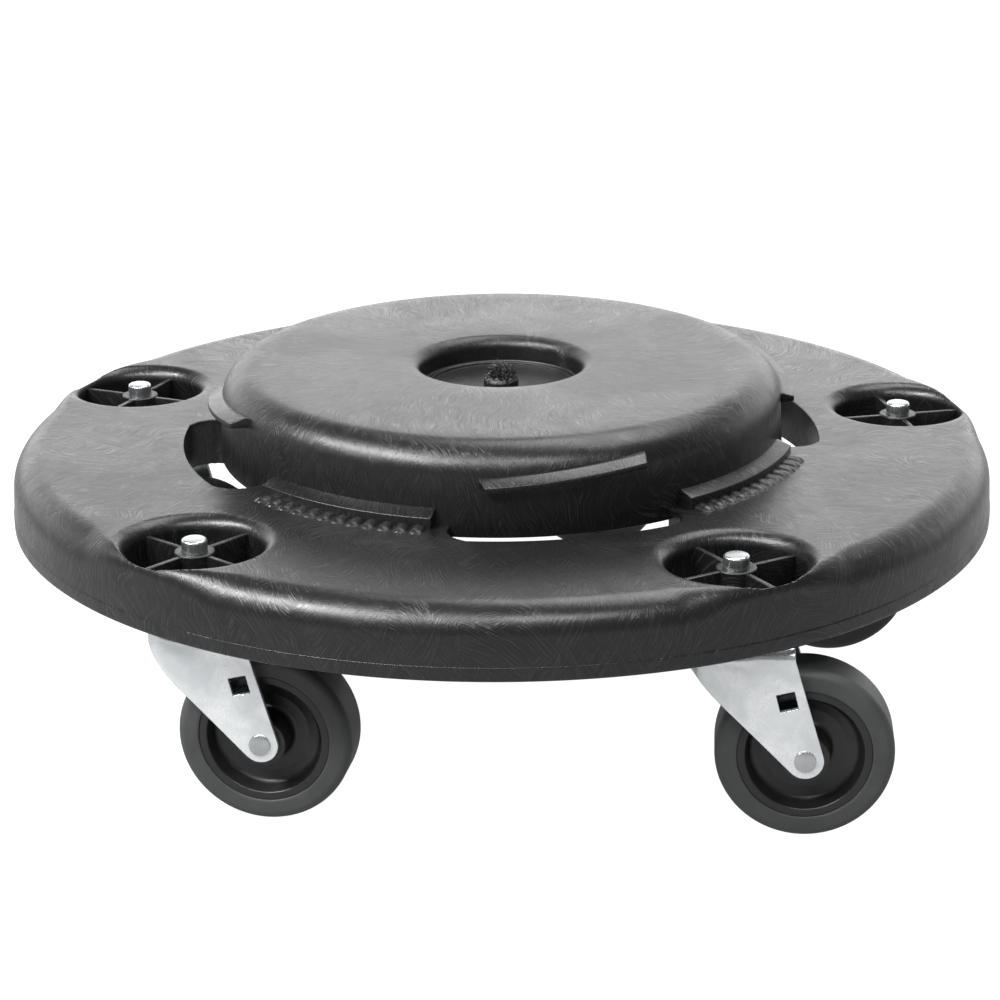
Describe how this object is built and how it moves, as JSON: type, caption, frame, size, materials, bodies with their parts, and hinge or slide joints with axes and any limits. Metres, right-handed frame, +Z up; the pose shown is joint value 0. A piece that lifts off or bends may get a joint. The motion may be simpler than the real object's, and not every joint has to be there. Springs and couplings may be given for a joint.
{
  "type": "container dolly",
  "caption": "Round moulded dolly with a raised twist-lock hub, on swivel casters with grey non-marking wheels.",
  "frame": {"origin": "centre of the footprint on the floor, on the hub's axis", "axes": "+Z up along the hub's axis, +X through the stem of caster 1 and the middle of a slot"},
  "size_m": [0.455, 0.455, 0.1578],
  "materials": {
    "deck_plastic": "semi-gloss moulded structural foam with flow streaks",
    "zinc_plate": "bright zinc plate",
    "spring_steel": "oiled steel",
    "ball_steel": "polished steel balls",
    "core_plastic": "satin black moulding",
    "grey_rubber": "smooth dark grey thermoplastic rubber"
  },
  "bodies": {
    "deck": {"platform": "deck_plastic", "stem_1": "zinc_plate", "grip_ring_1": "spring_steel", "upper_race_1": "zinc_plate", "lower_race_1": "zinc_plate", "stem_2": "zinc_plate", "grip_ring_2": "spring_steel", "upper_race_2": "zinc_plate", "lower_race_2": "zinc_plate", "stem_3": "zinc_plate", "grip_ring_3": "spring_steel", "upper_race_3": "zinc_plate", "lower_race_3": "zinc_plate", "stem_4": "zinc_plate", "grip_ring_4": "spring_steel", "upper_race_4": "zinc_plate", "lower_race_4": "zinc_plate", "stem_5": "zinc_plate", "grip_ring_5": "spring_steel", "upper_race_5": "zinc_plate", "lower_race_5": "zinc_plate"},
    "caster_fork_1": {"fork_1": "zinc_plate", "upper_balls_1": "ball_steel", "lower_balls_1": "ball_steel", "axle_1": "zinc_plate", "bushing_1": "spring_steel"},
    "caster_wheel_1": {"wheel_core_1": "core_plastic", "tread_1": "grey_rubber"},
    "caster_fork_2": {"fork_2": "zinc_plate", "upper_balls_2": "ball_steel", "lower_balls_2": "ball_steel", "axle_2": "zinc_plate", "bushing_2": "spring_steel"},
    "caster_wheel_2": {"wheel_core_2": "core_plastic", "tread_2": "grey_rubber"},
    "caster_fork_3": {"fork_3": "zinc_plate", "upper_balls_3": "ball_steel", "lower_balls_3": "ball_steel", "axle_3": "zinc_plate", "bushing_3": "spring_steel"},
    "caster_wheel_3": {"wheel_core_3": "core_plastic", "tread_3": "grey_rubber"},
    "caster_fork_4": {"fork_4": "zinc_plate", "upper_balls_4": "ball_steel", "lower_balls_4": "ball_steel", "axle_4": "zinc_plate", "bushing_4": "spring_steel"},
    "caster_wheel_4": {"wheel_core_4": "core_plastic", "tread_4": "grey_rubber"},
    "caster_fork_5": {"fork_5": "zinc_plate", "upper_balls_5": "ball_steel", "lower_balls_5": "ball_steel", "axle_5": "zinc_plate", "bushing_5": "spring_steel"},
    "caster_wheel_5": {"wheel_core_5": "core_plastic", "tread_5": "grey_rubber"}
  },
  "joints": [
    {"name": "swivel_1", "type": "hinge", "parent": "deck", "child": "caster_fork_1", "pos_m": [0.195, 0, 0.0885], "axis": [0, 0, 1], "continuous": true},
    {"name": "wheel_spin_1", "type": "hinge", "parent": "caster_fork_1", "child": "caster_wheel_1", "pos_m": [0.16516, 0.00526, 0.0381], "axis": [-0.1736, -0.9848, 0], "continuous": true},
    {"name": "swivel_2", "type": "hinge", "parent": "deck", "child": "caster_fork_2", "pos_m": [0.06026, 0.18546, 0.0885], "axis": [0, 0, 1], "continuous": true},
    {"name": "wheel_spin_2", "type": "hinge", "parent": "caster_fork_2", "child": "caster_wheel_2", "pos_m": [0.08701, 0.17123, 0.0381], "axis": [0.4695, 0.8829, 0], "continuous": true},
    {"name": "swivel_3", "type": "hinge", "parent": "deck", "child": "caster_fork_3", "pos_m": [-0.15776, 0.11462, 0.0885], "axis": [0, 0, 1], "continuous": true},
    {"name": "wheel_spin_3", "type": "hinge", "parent": "caster_fork_3", "child": "caster_wheel_3", "pos_m": [-0.13294, 0.09724, 0.0381], "axis": [0.5736, 0.8192, 0], "continuous": true},
    {"name": "swivel_4", "type": "hinge", "parent": "deck", "child": "caster_fork_4", "pos_m": [-0.15776, -0.11462, 0.0885], "axis": [0, 0, 1], "continuous": true},
    {"name": "wheel_spin_4", "type": "hinge", "parent": "caster_fork_4", "child": "caster_wheel_4", "pos_m": [-0.12967, -0.12597, 0.0381], "axis": [0.3746, 0.9272, 0], "continuous": true},
    {"name": "swivel_5", "type": "hinge", "parent": "deck", "child": "caster_fork_5", "pos_m": [0.06026, -0.18546, 0.0885], "axis": [0, 0, 1], "continuous": true},
    {"name": "wheel_spin_5", "type": "hinge", "parent": "caster_fork_5", "child": "caster_wheel_5", "pos_m": [0.08939, -0.19381, 0.0381], "axis": [0.2756, 0.9613, 0], "continuous": true}
  ]
}
